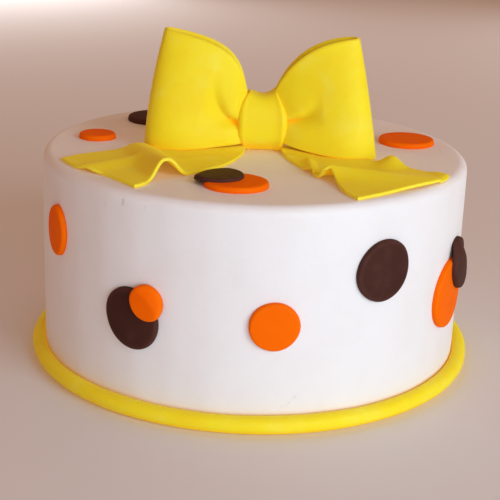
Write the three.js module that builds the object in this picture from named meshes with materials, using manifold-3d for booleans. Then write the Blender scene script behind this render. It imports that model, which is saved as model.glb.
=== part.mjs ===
// A round party cake under white sugar paste: a plain drum with a rolled rope round its foot, flat
// spots of orange and brown paste on its side and top, and a stiff ribbon bow with two loops, a
// knot and two wavy tails. Millimetres, +Z up. The origin is the middle of the underside, +X is to
// the right and -Y is towards the viewer who faces the bow.
import * as THREE from "three";
import { mergeVertices } from "three/addons/utils/BufferGeometryUtils.js";
import Module from "manifold-3d";

const wasm = await Module();
wasm.setup();

// Driving dimensions.
const GAP = 0.3;
const CAKE = { footRadius: 105.5, topRadius: 105.3, height: 103.5, edgeRadius: 4.5, footEdge: 0.8 };
const ROPE = { height: 8, depth: 7.6, unevenness: 0.012, thinAt: -95, thinBy: 0.15, thinSpread: 35 };
const SPOT = { thickness: 2.4, drape: 5, ledge: 2 };
const LOOP = { thickness: 2.2, pinch: 1.5, overhang: 4 };
const TAIL = { thickness: 1.7 };
const KNOT = {
  centreY: -2,
  depth: 22,
  bottom: 103.9,
  top: 131.2,
  left: { bottom: -4.6, belly: -8.7, top: -5.2, barrel: 4.5 },
  right: { bottom: 12.6, belly: 15.0, top: 10.2, barrel: 3 },
  edgeRadius: 1.8,
  upturn: { left: 2.4, right: 5.6 },
};

// How finely each kind of piece is divided.
const ROUND_STEPS = 72;
const EDGE_STEPS = 5;
const ROPE_SIDES = 8;
const SPOT_STEPS = 20;
const SPOT_RINGS = { wall: 2, top: 1, draped: 4 };
const LOOP_STEPS = { round: 38, across: 11 };
const TAIL_STEPS = { along: 28, across: 14 };
const KNOT_STEPS = 32;
const KNOT_STATIONS = [-1, -0.97, -0.85, -0.45, 0, 0.45, 0.85, 0.97, 1];

// Finishes of the rolled paste.
const paste = (color, roughness) => new THREE.MeshStandardMaterial({ color, roughness, metalness: 0 });
const WHITE = paste(0xebe9ea, 0.55);
const YELLOW = paste(0xf2cf22, 0.42);
const ORANGE = paste(0xf7680a, 0.5);
const BROWN = paste(0x3f231b, 0.5);

// Small mathematics.
const vec = (x, y, z) => new THREE.Vector3(x, y, z);
const { lerp, smoothstep, clamp } = THREE.MathUtils;
const gauss = (distance, width) => Math.exp(-((distance / width) ** 2));
const turn = THREE.MathUtils.degToRad;

// Only the places of a geometry's corners, with those that coincide made one.
function bare(geometry) {
  const source = geometry.clone();
  source.deleteAttribute("normal");
  source.deleteAttribute("uv");
  return mergeVertices(source, 1e-4);
}

// The same surface with every corner moved by a function of its place.
function moved(geometry, place) {
  const shape = bare(geometry);
  const position = shape.attributes.position;
  const corner = vec(0, 0, 0);
  for (let i = 0; i < position.count; i++) {
    const to = place(corner.fromBufferAttribute(position, i));
    position.setXYZ(i, to.x, to.y, to.z);
  }
  return shape;
}

// A shape turned about +Z from a profile of [radius, height] points.
function turned(profile, steps) {
  const points = profile.map(([radius, height]) => new THREE.Vector2(radius, height));
  return new THREE.LatheGeometry(points, steps).rotateX(Math.PI / 2);
}

// A closed body from its corners and faces, with the faces turned round where they face inwards.
function body(points, faces) {
  let volume = 0;
  for (let i = 0; i < faces.length; i += 3) {
    const [a, b, c] = faces.slice(i, i + 3).map((corner) => points[corner]);
    volume += a.dot(b.clone().cross(c));
  }
  return new THREE.BufferGeometry().setFromPoints(points).setIndex(volume < 0 ? faces.reverse() : faces);
}

// A closed surface from rings of points, each ring joined to the next. The rings either go round
// and meet again, or each end is closed by a fan about the middle of its ring.
function ringed(rings, meets) {
  const wide = rings[0].length;
  const points = rings.flat();
  const faces = [];
  const at = (i, j) => (i % rings.length) * wide + (j % wide);
  for (let i = 0; i < rings.length - (meets ? 0 : 1); i++) {
    for (let j = 0; j < wide; j++) {
      faces.push(at(i, j), at(i, j + 1), at(i + 1, j + 1), at(i, j), at(i + 1, j + 1), at(i + 1, j));
    }
  }
  if (!meets) {
    const middleOf = (ring) => ring.reduce((sum, p) => sum.add(p), vec(0, 0, 0)).divideScalar(wide);
    points.push(middleOf(rings[0]), middleOf(rings.at(-1)));
    for (let j = 0; j < wide; j++) {
      faces.push(points.length - 2, at(0, j + 1), at(0, j));
      faces.push(points.length - 1, at(rings.length - 1, j), at(rings.length - 1, j + 1));
    }
  }
  return body(points, faces);
}

function solidOf(geometry) {
  const shape = bare(geometry);
  const vertProperties = new Float32Array(shape.attributes.position.array);
  const triVerts = new Uint32Array(shape.index.array);
  return new wasm.Manifold(new wasm.Mesh({ numProp: 3, vertProperties, triVerts }));
}

// What is left of a body once a tool is taken out of it, without the loose scraps.
function cutBy(geometry, tool) {
  const left = solidOf(geometry).subtract(solidOf(tool));
  const [largest] = left.decompose().sort((a, b) => b.volume() - a.volume());
  const { vertProperties, triVerts } = largest.getMesh();
  return new THREE.BufferGeometry()
    .setAttribute("position", new THREE.BufferAttribute(new Float32Array(vertProperties), 3))
    .setIndex(new THREE.BufferAttribute(new Uint32Array(triVerts), 1));
}

// The way square to a surface of two parameters, from its slopes either side of a point.
function normalAt(place, u, v, step = 1e-3) {
  const alongU = place(u + step, v).sub(place(u - step, v));
  const alongV = place(u, v + step).sub(place(u, v - step));
  return alongU.cross(alongV).normalize();
}

const group = new THREE.Group();
function add(name, geometry, material) {
  const mesh = new THREE.Mesh(geometry, material);
  mesh.name = name;
  group.add(mesh);
}

// The cake: a drum with a softly rounded top edge.
function cakeBody() {
  const { footRadius, topRadius, height, edgeRadius, footEdge } = CAKE;
  const profile = [[0, 0], [footRadius - footEdge, 0], [footRadius, footEdge]];
  for (let i = 0; i <= EDGE_STEPS; i++) {
    const angle = (i / EDGE_STEPS) * (Math.PI / 2);
    const radius = topRadius - edgeRadius + edgeRadius * Math.cos(angle);
    profile.push([radius, height - edgeRadius + edgeRadius * Math.sin(angle)]);
  }
  profile.push([0, height]);
  return turned(profile, ROUND_STEPS);
}

const wallRadius = (z) => lerp(CAKE.footRadius, CAKE.topRadius, z / CAKE.height);

// The rope: an oval section pressed to the wall, rolled a little thicker and thinner on its way.
function baseRope() {
  const inner = CAKE.footRadius + GAP;
  const profile = [];
  for (let i = 0; i <= ROPE_SIDES; i++) {
    const angle = (i / ROPE_SIDES) * 2 * Math.PI - Math.PI / 2;
    const radius = inner + (ROPE.depth / 2) * (1 + Math.cos(angle));
    profile.push([radius, (ROPE.height / 2) * (1 + Math.sin(angle))]);
  }
  return moved(turned(profile, ROUND_STEPS), (p) => {
    const azimuth = Math.atan2(p.x, -p.y);
    const radius = Math.hypot(p.x, p.y);
    const fromThin = Math.sin((azimuth - turn(ROPE.thinAt)) / 2) * 2;
    const thin = ROPE.thinBy * gauss(fromThin, turn(ROPE.thinSpread));
    const thick = 1 - thin + ROPE.unevenness * (Math.sin(3 * azimuth + 1) + Math.sin(8 * azimuth));
    const out = (inner + (radius - inner) * thick) / radius;
    return vec(p.x * out, p.y * out, p.z * thick);
  });
}

// Spots. On the side a spot's place is its azimuth in degrees, from the viewer's side towards +X,
// and its height. On the top it is X and Y. Radii are across and along, before the turn. A spot
// that lies partly on another one is draped over it.
const SIDE_SPOTS = {
  side_spot_orange_front: { at: [6.0, 49.7], radii: [11.2, 11.1], material: ORANGE },
  side_spot_brown_right: { at: [33.5, 71.4], radii: [14.4, 13.7], turn: 62, material: BROWN },
  side_spot_orange_right: { at: [63.0, 47.3], radii: [15.6, 17.2], turn: -30, material: ORANGE },
  side_spot_brown_far_right: {
    at: [68.4, 60.0],
    radii: [11.4, 13.0],
    turn: 24,
    over: "side_spot_orange_right",
    material: BROWN,
  },
  side_spot_brown_left: { at: [-29.6, 46.0], radii: [13.0, 14.7], turn: 32, material: BROWN },
  side_spot_orange_small_left: {
    at: [-24.9, 55.4],
    radii: [7.0, 8.3],
    turn: 33,
    over: "side_spot_brown_left",
    material: ORANGE,
  },
  side_spot_orange_far_left: { at: [-59.1, 73.6], radii: [8.8, 12.1], material: ORANGE },
  side_spot_brown_back_right: { at: [104, 38], radii: [11.2, 11.0], material: BROWN },
  side_spot_orange_back_right: { at: [129, 70], radii: [14.2, 13.8], material: ORANGE },
  side_spot_brown_back: { at: [153, 44], radii: [14.0, 14.2], material: BROWN },
  side_spot_orange_small_back: {
    at: [158.5, 55],
    radii: [7.6, 7.8],
    over: "side_spot_brown_back",
    material: ORANGE,
  },
  side_spot_orange_back: { at: [183, 70], radii: [11.2, 11.0], material: ORANGE },
  side_spot_brown_back_left: { at: [212, 50], radii: [14.1, 13.8], material: BROWN },
  side_spot_orange_back_left: { at: [237, 36], radii: [13.8, 14.0], material: ORANGE },
  side_spot_brown_far_left: { at: [258, 68], radii: [11.0, 11.2], material: BROWN },
};
const TOP_SPOTS = {
  top_spot_orange_left: { at: [-80.6, 8.5], radii: [9.2, 9.0], material: ORANGE },
  top_spot_orange_right: { at: [78.0, 21.0], radii: [14.2, 14.0], material: ORANGE },
  top_spot_orange_front: { at: [-7.9, -73.1], radii: [14.5, 13.2], material: ORANGE },
  top_spot_brown_front: {
    at: [-15.9, -67.9],
    radii: [11.2, 10.8],
    over: "top_spot_orange_front",
    material: BROWN,
  },
  top_spot_brown_back_left: { at: [-56, 54], radii: [13.8, 14.0], material: BROWN },
  top_spot_orange_back: { at: [8, 72], radii: [13.8, 14.0], material: ORANGE },
  top_spot_brown_back: { at: [42, 46], radii: [8.6, 8.4], material: BROWN },
};

// How far a point lies outside a spot's rim, in millimetres, on the flattened surface.
function beyondRim(spot, centre, across, along) {
  const angle = turn(spot.turn ?? 0);
  const x = across - centre[0];
  const y = along - centre[1];
  const a = (x * Math.cos(angle) + y * Math.sin(angle)) / spot.radii[0];
  const b = (y * Math.cos(angle) - x * Math.sin(angle)) / spot.radii[1];
  return (Math.hypot(a, b) - 1) * Math.min(...spot.radii);
}

// A flat disc of paste on a surface that place() maps from (across, along, height above it).
function spotDisc(spot, centre, under, underCentre, place, flatRings) {
  const rings = under ? SPOT_RINGS.draped : flatRings;
  const profile = [];
  for (let i = 0; i <= rings; i++) profile.push([i / rings, 0]);
  for (let i = rings; i >= 0; i--) profile.push([i / rings, SPOT.thickness]);
  const angle = turn(spot.turn ?? 0);
  return moved(turned(profile, SPOT_STEPS), (p) => {
    const a = p.x * spot.radii[0];
    const b = p.y * spot.radii[1];
    const across = centre[0] + a * Math.cos(angle) - b * Math.sin(angle);
    const along = centre[1] + a * Math.sin(angle) + b * Math.cos(angle);
    let lift = 0;
    if (under) {
      const beyond = beyondRim(under, underCentre, across, along) - SPOT.ledge;
      lift = (SPOT.thickness + GAP) * (1 - smoothstep(beyond, 0, SPOT.drape));
    }
    return place(across, along, GAP + p.z + lift);
  });
}

const onTop = (x, y, height) => vec(x, y, CAKE.height + height);
function onWall(arc, z, height) {
  const azimuth = arc / CAKE.footRadius;
  const radius = wallRadius(z) + height;
  return vec(radius * Math.sin(azimuth), -radius * Math.cos(azimuth), z);
}

function addSpots(spots, centreOf, place, flatRings) {
  for (const [name, spot] of Object.entries(spots)) {
    const under = spots[spot.over];
    const underCentre = under && centreOf(under);
    add(name, spotDisc(spot, centreOf(spot), under, underCentre, place, flatRings), spot.material);
  }
}

// The tails: strips of ribbon with a front and a back edge in plan, the front a smooth curve through
// its points and the back a straight line, both from the knot to the cut end, and ridges where the
// strip stands up in folds. A ridge runs in plan between two points, with its height and its width
// on either side given at both ends.
const TAILS = {
  bow_tail_left: {
    front: [[-5, -6], [-14, -28.4], [-22, -40.9], [-30.6, -54.8], [-38.7, -66.6], [-50.7, -83]],
    back: [[-5, 7], [-92.5, -36.2]],
    ridges: [
      { from: [-39.3, -67], to: [-57, -18.5], height: [9.4, 3], near: [6.2, 6.5], far: [6.2, 6.5] },
      { from: [-77, -60], to: [-60, -45], height: [1.6, 1.2], near: [6, 6], far: [6, 6] },
    ],
  },
  bow_tail_right: {
    front: [
      [12, -6], [14, -22], [20, -37], [25.2, -46.8],
      [29.5, -55.2], [34.7, -59], [38, -70], [44.9, -87.5],
    ],
    back: [[12, 5.4], [90.6, -47.5]],
    ridges: [
      { from: [28.2, -52], to: [26.8, -35], height: [1.6, 1.8], near: [2.6, 2.6], far: [2.6, 2.6] },
      { from: [38, -34], to: [64, -29], height: [1.5, 4.4], near: [5, 5.5], far: [5, 5.5] },
      { from: [34.7, -58.6], to: [80, -58], height: [6, 0.8], near: [5.5, 12], far: [4, 7] },
    ],
  },
};

const planCurve = (points) => new THREE.SplineCurve(points.map((p) => new THREE.Vector2(...p)));

// A ridge's height at a plan point: a rounded crest that fades past its ends.
function ridgeHeight({ from, to, height, near, far }, x, y) {
  const start = new THREE.Vector2(...from);
  const run = new THREE.Vector2(...to).sub(start);
  const length = run.length();
  run.divideScalar(length);
  const reach = new THREE.Vector2(x, y).sub(start);
  const along = reach.dot(run);
  const share = clamp(along / length, 0, 1);
  const aside = reach.cross(run);
  const width = aside > 0 ? lerp(...near, share) : lerp(...far, share);
  const past = along - share * length;
  return lerp(...height, share) * gauss(aside, width) * gauss(past, width);
}

const tailBed = CAKE.height + GAP + TAIL.thickness / 2;
const tailHeight = (tail, x, y) =>
  tailBed + tail.ridges.reduce((sum, ridge) => sum + ridgeHeight(ridge, x, y), 0);

// A strip of even thickness: its middle surface with half the thickness either side.
function ribbonTail(tail) {
  const front = planCurve(tail.front);
  const back = planCurve(tail.back);
  const middle = (along, across) => {
    const share = clamp(along, 0, 1);
    const plan = front.getPoint(share).lerp(back.getPoint(share), across);
    return vec(plan.x, plan.y, tailHeight(tail, plan.x, plan.y));
  };
  const rings = [];
  for (let i = 0; i <= TAIL_STEPS.along; i++) {
    const upper = [];
    const lower = [];
    for (let j = 0; j <= TAIL_STEPS.across; j++) {
      const u = i / TAIL_STEPS.along;
      const v = j / TAIL_STEPS.across;
      const normal = normalAt(middle, u, v);
      if (normal.z < 0) normal.negate();
      upper.push(middle(u, v).addScaledVector(normal, TAIL.thickness / 2));
      lower.push(middle(u, v).addScaledVector(normal, -TAIL.thickness / 2));
    }
    rings.push([...upper, ...lower.reverse()]);
  }
  return strip(rings);
}

// A long flat body from rings that each hold an upper row and the lower row back again.
function strip(rings) {
  const wide = rings[0].length;
  const points = rings.flat();
  const faces = [];
  const quad = (a, b, c, d) => faces.push(a, b, c, a, c, d);
  for (let i = 0; i + 1 < rings.length; i++) {
    for (let j = 0; j < wide; j++) {
      const next = (j + 1) % wide;
      quad(i * wide + j, i * wide + next, (i + 1) * wide + next, (i + 1) * wide + j);
    }
  }
  const last = (rings.length - 1) * wide;
  for (let j = 0; j + 1 < wide / 2; j++) {
    const across = wide - 1 - j;
    quad(j, across, across - 1, j + 1);
    quad(last + j, last + j + 1, last + across - 1, last + across);
  }
  return body(points, faces);
}

// How much higher than the cake's top a loop has to stand, where a tail passes under it. The loop
// comes down beside the tail's back edge over the length of the overhang.
function restLift(x, y) {
  let lift = 0;
  for (const tail of Object.values(TAILS)) {
    const [start, end] = tail.back.map((p) => new THREE.Vector2(...p));
    const run = end.clone().sub(start).normalize();
    const reach = new THREE.Vector2(x, y).sub(start);
    const inside = Math.sign(run.x) * reach.cross(run);
    const onStrip = smoothstep(inside, -LOOP.overhang, -LOOP.thickness / 2) * (reach.dot(run) > 0 ? 1 : 0);
    const above = tailHeight(tail, x, y) + TAIL.thickness / 2 + GAP - CAKE.height;
    lift = Math.max(lift, onStrip * above);
  }
  return lift;
}

// The loops: a strip on edge, bent round at its outer end and gathered at the knot. Its lower edge,
// middle line and upper edge are curves in the plane of X and Z, from the knot out to the bend.
// Depths are how far the two layers stand to the front and the back, at the lower edge, the middle
// and the upper edge.
const LOOPS = {
  bow_loop_left: {
    lower: [[-1, 107.5], [-14, 105], [-32, 103.9], [-54.2, 103.9]],
    middle: [[-1, 115.5], [-16, 115.5], [-34, 126], [-51.2, 131.5]],
    upper: [[-6, 128], [-5.4, 153], [-19.5, 157], [-44.7, 162.4]],
    knotY: -3,
    bendY: [-7.5, -6.5, -5],
    front: [10, 10, 6],
    back: [8, 8, 5],
    valley: { depth: 7, height: [0.02, 0.5], reach: 0.36, width: 0.2 },
    lobes: [
      { at: [0.26, 0.5], size: [0.14, 0.34], out: 2.5 },
      { at: [0.24, -0.5], size: [0.14, 0.4], out: 1.2 },
    ],
  },
  bow_loop_right: {
    lower: [[7, 109.5], [20, 106], [36, 103.9], [58.3, 103.9]],
    middle: [[7, 118.5], [24, 118.5], [40, 126], [53.6, 131]],
    upper: [[7, 129], [13.5, 149.5], [27, 159.4], [47.1, 161.2]],
    knotY: -3,
    bendY: [-13, -11, -8],
    front: [11, 10, 5],
    back: [8, 8, 5],
    valley: { depth: 5, height: [0.0, 0.1], reach: 0.36, width: 0.2 },
    lobes: [
      { at: [0.28, 0.45], size: [0.16, 0.34], out: 1.6 },
      { at: [0.26, -0.5], size: [0.14, 0.4], out: 1 },
    ],
  },
};

const sideCurve = (points) => new THREE.CubicBezierCurve(...points.map((p) => new THREE.Vector2(...p)));

// The value at a share of the height from -1 to 1, through three values at -1, 0 and 1.
const through = (low, mid, high, t) => mid + (t * (high - low)) / 2 + t * t * ((high + low) / 2 - mid);

// Most of a layer's depth lies two thirds of the way out; at the bend both layers meet.
const BELL_PEAK = 0.77;
const bell = (angle) => (Math.abs(Math.sin(angle)) * Math.sin(angle / 2)) / BELL_PEAK;

// How far a lobe stands out of the front layer: a soft mound with its own place and size.
function lobeSwell({ at, size, out }, u, t) {
  return out * gauss(u - at[0], size[0]) * gauss(t - at[1], size[1]);
}

function loopMiddle(loop) {
  const [lower, middle, upper] = [loop.lower, loop.middle, loop.upper].map(sideCurve);
  return (angle, t) => {
    const out = (1 - Math.cos(angle)) / 2;
    const [low, mid, high] = [lower, middle, upper].map((curve) => curve.getPoint(out));
    const x = through(low.x, mid.x, high.x, t);
    const z = through(low.y, mid.y, high.y, t);
    const isFront = Math.sin(angle) > 0;
    const depth = through(...(isFront ? loop.front : loop.back), t);
    const apart = LOOP.pinch * Math.min(1, 4 * Math.abs(Math.sin(angle))) + depth * bell(angle);
    const { valley } = loop;
    const valleyAt = lerp(...valley.height, Math.min(1, out / valley.reach) ** 2);
    const fade = Math.max(0, 1 - out / valley.reach) ** 1.5;
    const dip = valley.depth * fade * gauss(t - valleyAt, valley.width);
    const swell = loop.lobes.reduce((sum, lobe) => sum + lobeSwell(lobe, out, t), 0);
    const bendY = through(...loop.bendY, t);
    const y = lerp(loop.knotY, bendY, out) + (isFront ? -apart - swell : apart) + dip;
    const nearFoot = ((1 - t) / 2) ** 4;
    return vec(x, y, z + nearFoot * restLift(x, y));
  };
}

function ribbonLoop(loop) {
  const middle = loopMiddle(loop);
  const rings = [];
  for (let i = 0; i < LOOP_STEPS.round; i++) {
    const angle = ((i + 0.5) / LOOP_STEPS.round) * 2 * Math.PI;
    const outer = [];
    const inner = [];
    for (let j = 0; j <= LOOP_STEPS.across; j++) {
      const t = (2 * j) / LOOP_STEPS.across - 1;
      const normal = normalAt(middle, angle, t);
      outer.push(middle(angle, t).addScaledVector(normal, LOOP.thickness / 2));
      inner.push(middle(angle, t).addScaledVector(normal, -LOOP.thickness / 2));
    }
    rings.push([...outer, ...inner.reverse()]);
  }
  return ringed(rings, true);
}

// Where a side of the knot runs: straight round the belly, drawn in towards the top and bottom.
function knotSide({ bottom, belly, top, barrel }, rise) {
  return lerp(belly, rise > 0 ? top : bottom, Math.abs(rise) ** barrel);
}

// How full the knot's section is: 1 is an oval and less is nearer to a box with round corners.
const FULLNESS = { rise: 0.8, above: 0.62, below: 0.95 };
const rounded = (value, power) => Math.sign(value) * Math.abs(value) ** power;

// The knot: a short band round the gathered middle, widest at its belly, with its edges turned up
// where it goes over the top. The swell makes a larger copy for cutting room round it.

function bowKnot(swell) {
  const halfHeight = (KNOT.top - KNOT.bottom) / 2;
  const centreZ = (KNOT.top + KNOT.bottom) / 2;
  const rings = [];
  for (const station of KNOT_STATIONS) {
    const ring = [];
    for (let i = 0; i < KNOT_STEPS; i++) {
      const angle = (i / KNOT_STEPS) * 2 * Math.PI;
      const rise = rounded(Math.sin(angle), FULLNESS.rise);
      const ahead = rounded(Math.cos(angle), rise > 0 ? FULLNESS.above : FULLNESS.below);
      const rounding = KNOT.edgeRadius * (1 - Math.sqrt(1 - station ** 8));
      const edgeLift = lerp(KNOT.upturn.left, KNOT.upturn.right, (station + 1) / 2);
      const upturn = edgeLift * Math.max(0, rise) ** 3 * (station ** 2 - station ** 8);
      const left = knotSide(KNOT.left, rise) - swell;
      const right = knotSide(KNOT.right, rise) + swell;
      const x = lerp(left, right, (station + 1) / 2);
      const y = KNOT.centreY - ahead * (KNOT.depth / 2 + swell - rounding);
      const z = centreZ + rise * (halfHeight + swell - rounding + upturn);
      ring.push(vec(x, y, z));
    }
    rings.push(ring);
  }
  return ringed(rings, false);
}

add("cake_body", cakeBody(), WHITE);
add("base_rope", baseRope(), YELLOW);
addSpots(SIDE_SPOTS, ({ at }) => [turn(at[0]) * CAKE.footRadius, at[1]], onWall, SPOT_RINGS.wall);
addSpots(TOP_SPOTS, ({ at }) => at, onTop, SPOT_RINGS.top);
const knotRoom = bowKnot(GAP);
for (const [name, tail] of Object.entries(TAILS)) {
  add(name, cutBy(ribbonTail(tail), knotRoom), YELLOW);
}
for (const [name, loop] of Object.entries(LOOPS)) {
  add(name, cutBy(ribbonLoop(loop), knotRoom), YELLOW);
}
add("bow_knot", bowKnot(0), YELLOW);

export default group;
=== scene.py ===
"""A round party cake under white sugar paste, with spots, a rope round its foot and a stiff bow."""

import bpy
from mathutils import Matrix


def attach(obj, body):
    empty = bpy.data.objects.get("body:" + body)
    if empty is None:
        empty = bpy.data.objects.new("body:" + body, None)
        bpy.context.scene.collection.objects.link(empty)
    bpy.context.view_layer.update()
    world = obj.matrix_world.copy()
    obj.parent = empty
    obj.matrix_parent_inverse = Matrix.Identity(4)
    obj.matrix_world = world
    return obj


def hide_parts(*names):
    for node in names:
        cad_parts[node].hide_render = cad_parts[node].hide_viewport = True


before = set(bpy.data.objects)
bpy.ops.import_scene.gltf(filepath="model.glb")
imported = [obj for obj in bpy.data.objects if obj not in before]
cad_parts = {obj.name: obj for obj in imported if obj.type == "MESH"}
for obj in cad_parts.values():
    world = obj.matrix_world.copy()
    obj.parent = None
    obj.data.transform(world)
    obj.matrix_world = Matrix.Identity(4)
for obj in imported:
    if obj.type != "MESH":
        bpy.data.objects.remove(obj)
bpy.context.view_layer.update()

import math
from collections import namedtuple

import bpy
import numpy as np
from bpy.props import FloatProperty, FloatVectorProperty, PointerProperty
from bpy.types import Operator, Panel, PropertyGroup
from mathutils import Matrix, Vector

bl_info = {
    "name": "Sugar Paste Party Cake",
    "version": (1, 0, 0),
    "blender": (4, 5, 0),
    "location": "3D View > Sidebar > Cake",
    "description": "Makes a round cake with paste spots, a rope and a ribbon bow",
    "category": "Add Mesh",
}

MM = 0.001


# ---- Sizes and colours that a user would change ----


def number(**usual):
    """A kind of number, for settings that each have a name, a default and a description."""

    def setting(name, default, description):
        """One setting of that kind."""
        return FloatProperty(name=name, default=default, description=description, **usual)

    return setting


length = number(min=0.0, unit="LENGTH", subtype="DISTANCE", precision=5)
share = number(soft_max=1.0, subtype="FACTOR")
power = number(min=0.0, unit="POWER", subtype="POWER")


def colour(name, default, description):
    """A colour in linear red, green and blue."""
    return FloatVectorProperty(
        name=name, description=description, default=default, subtype="COLOR", min=0.0, max=1.0
    )


class CakeSizes(PropertyGroup):
    foot_radius: length("Foot radius", 0.1055, "Radius of the covered cake just above the table")
    top_radius: length("Top radius", 0.1053, "Radius of the wall, were it to run straight to the top")
    height: length("Height", 0.1035, "Height of the covered cake")
    edge_radius: length("Edge radius", 0.0045, "Radius of the round edge between wall and top")
    foot_edge: length("Foot edge", 0.0008, "Small bevel at the foot")
    swell: length("Swell", 0.00028, "How far the smoothed wall swells and sinks")


class RopeSizes(PropertyGroup):
    height: length("Height", 0.0080, "Height of the rope's oval section")
    depth: length("Depth", 0.0079, "Depth of the rope's oval section")
    unevenness: share("Unevenness", 0.012, "How much thicker and thinner the rolling left it")
    thin_by: share("Thin stretch", 0.15, "How much thinner the rope is on the left")


class SpotSizes(PropertyGroup):
    thickness: length("Thickness", 0.0026, "Thickness of a spot")
    edge_radius: length("Edge radius", 0.0012, "Radius of the round upper edge of a spot")
    ledge: length("Ledge", 0.0016, "How far a spot reaches level past the one under it")
    drape: length("Drape", 0.0064, "Over what length it then sinks to the cake")
    sink: length("Sink", 0.0005, "How deep the underside is pressed into the cake")


class BowSizes(PropertyGroup):
    loop_thickness: length("Loop thickness", 0.0022, "Thickness of the paste in the loops")
    tail_thickness: length("Tail thickness", 0.0017, "Thickness of the paste in the tails")
    pinch: length("Pinch", 0.0015, "Half the distance between a loop's layers at the knot")
    knot_depth: length("Knot depth", 0.0220, "Depth of the knot from front to back")
    knot_bottom: length("Knot bottom", 0.1031, "Height of the knot's lowest point")
    knot_top: length("Knot top", 0.1312, "Height of the middle of the knot's top")
    knot_lip: length("Knot lip", 0.0007, "How far the knot's edges stand out")


class PasteColours(PropertyGroup):
    white: colour("White", (0.875, 0.87, 0.875), "Sugar paste over the cake")
    yellow: colour("Yellow", (0.98, 0.80, 0.024), "Rope and bow")
    orange: colour("Orange", (0.98, 0.152, 0.001), "Orange spots")
    brown: colour("Brown", (0.062, 0.022, 0.016), "Brown spots")


class StudioSettings(PropertyGroup):
    key: power("Key", 10.8, "Power of the soft light at the front right")
    front: power("Front", 6.8, "Power of the low, wide light at the front")
    back: power("Back", 3.5, "Power of each of the two low lights behind")
    sky: share("Surroundings", 0.42, "Brightness of the plain warm surroundings")
    floor: colour("Floor", (0.78, 0.78, 0.79), "Plain floor")


# ---- Small mathematics, all on whole arrays ----


def gauss(distance, width):
    """1 in the middle, falling as a bell over the width."""
    return np.exp(-((distance / width) ** 2))


def mix(low, high, part):
    """The value at a share of the way from low to high."""
    return low + (high - low) * part


def ramp(value, start, end):
    """0 before the start, 1 past the end, and a smooth S between them."""
    part = np.clip((value - start) / (end - start), 0.0, 1.0)
    return part * part * (3.0 - 2.0 * part)


def bezier(points, part):
    """A cubic curve: four points weighted by (1-s)^3, 3s(1-s)^2, 3s^2(1-s) and s^3."""
    a, b, c, d = (np.array(p, float) for p in points)
    s = np.asarray(part, float)[..., None]
    return a * (1 - s) ** 3 + 3 * b * s * (1 - s) ** 2 + 3 * c * s * s * (1 - s) + d * s**3


def curve_through(points, part):
    """A smooth curve through points at even shares of its run: between two neighbours a cubic, whose
    slope at each of them is half the step from the point before to the point after."""
    p = np.array(points, float)
    place = np.clip(part, 0.0, 1.0) * (len(p) - 1)
    i = np.minimum(place.astype(int), len(p) - 2)
    t = (place - i)[..., None]
    before, here, there, after = (p[np.clip(i + k, 0, len(p) - 1)] for k in (-1, 0, 1, 2))
    leave, arrive = (there - before) / 2, (after - here) / 2
    cubic = (2 * here - 2 * there + leave + arrive) * t**3
    return cubic + (3 * there - 3 * here - 2 * leave - arrive) * t**2 + leave * t + here


def facing(surface, u, v, step=1e-3):
    """Unit normals: the cross product of the surface's slopes along its two parameters."""
    along_u = surface(u + step, v) - surface(u - step, v)
    along_v = surface(u, v + step) - surface(u, v - step)
    normal = np.cross(along_u, along_v)
    return normal / np.linalg.norm(normal, axis=-1, keepdims=True)


def ripple(x, y, waves):
    """A sum of sines, each with its wave numbers along x and y, its phase and its height."""
    return sum(height * np.sin(kx * x + ky * y + phase) for kx, ky, phase, height in waves)


def around(count):
    """Even angles round a circle."""
    return np.linspace(0, 2 * np.pi, count, endpoint=False)


def round_place(azimuth, radius, level):
    """Points by their angle round the cake from the front, their distance from its axis and height."""
    return np.stack(
        np.broadcast_arrays(radius * np.sin(azimuth), -radius * np.cos(azimuth), level), axis=-1
    )


def pairs(first, second):
    """Two rows of numbers, or one and a number, as a row of pairs."""
    return np.stack(np.broadcast_arrays(first, second), axis=1)


def rounded(value, power):
    """A sine or cosine made fuller or slimmer, with its sign kept."""
    return np.sign(value) * np.abs(value) ** power


def both_sides(middle, u, v, half):
    """The two sheets that lie half a thickness square to either side of a middle surface."""
    here, apart = middle(u, v), facing(middle, u, v) * half[..., None]
    return here + apart, here - apart


def edge_steps(width, radius, count, bend=6):
    """Places across a strip, from 0 to 1, and how full it is there. Within one radius of each edge the
    places follow a quarter turn, so that the strip's half thickness falls to nothing as a round."""
    turn = np.linspace(0.0, np.pi / 2, bend + 1)
    near = radius * (1 - np.cos(turn))
    inner = np.linspace(0.0, 1.0, count)[1:-1]
    width = np.atleast_1d(np.asarray(width, float))[:, None]
    middle = radius + (width - 2 * radius) * inner
    places = np.concatenate([near + 0 * width, middle, width - near[::-1]], axis=1) / width
    fullness = np.concatenate([np.sin(turn), np.ones(len(inner)), np.sin(turn)[::-1]])
    return places, fullness


# ---- Meshes from grids of points ----


def numbers(rows):
    """The number of each point in a grid of them."""
    return np.arange(rows[..., 0].size).reshape(rows.shape[:-1])


def quads(grid, wrap_rows=False, wrap_columns=False):
    """Corner numbers of the quads between neighbouring rows and columns of a grid of point numbers."""
    if wrap_rows:
        grid = np.concatenate([grid, grid[:1]])
    if wrap_columns:
        grid = np.concatenate([grid, grid[:, :1]], axis=1)
    corners = grid[:-1, :-1], grid[:-1, 1:], grid[1:, 1:], grid[1:, :-1]
    return np.stack(corners, axis=-1).reshape(-1, 4)


def ring_mesh(rows):
    """Rows of points that each go round, with the first and the last closed by a pole in its middle."""
    grid = numbers(rows)
    points = np.concatenate([rows.reshape(-1, 3), rows[:1].mean(axis=1), rows[-1:].mean(axis=1)])
    first, last = 0 * grid[0] + grid.size, 0 * grid[0] + grid.size + 1
    start = np.stack([first, np.roll(grid[0], -1), grid[0]], axis=1)
    end = np.stack([last, grid[-1], np.roll(grid[-1], -1)], axis=1)
    return points, [quads(grid, wrap_columns=True), start, end]


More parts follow.
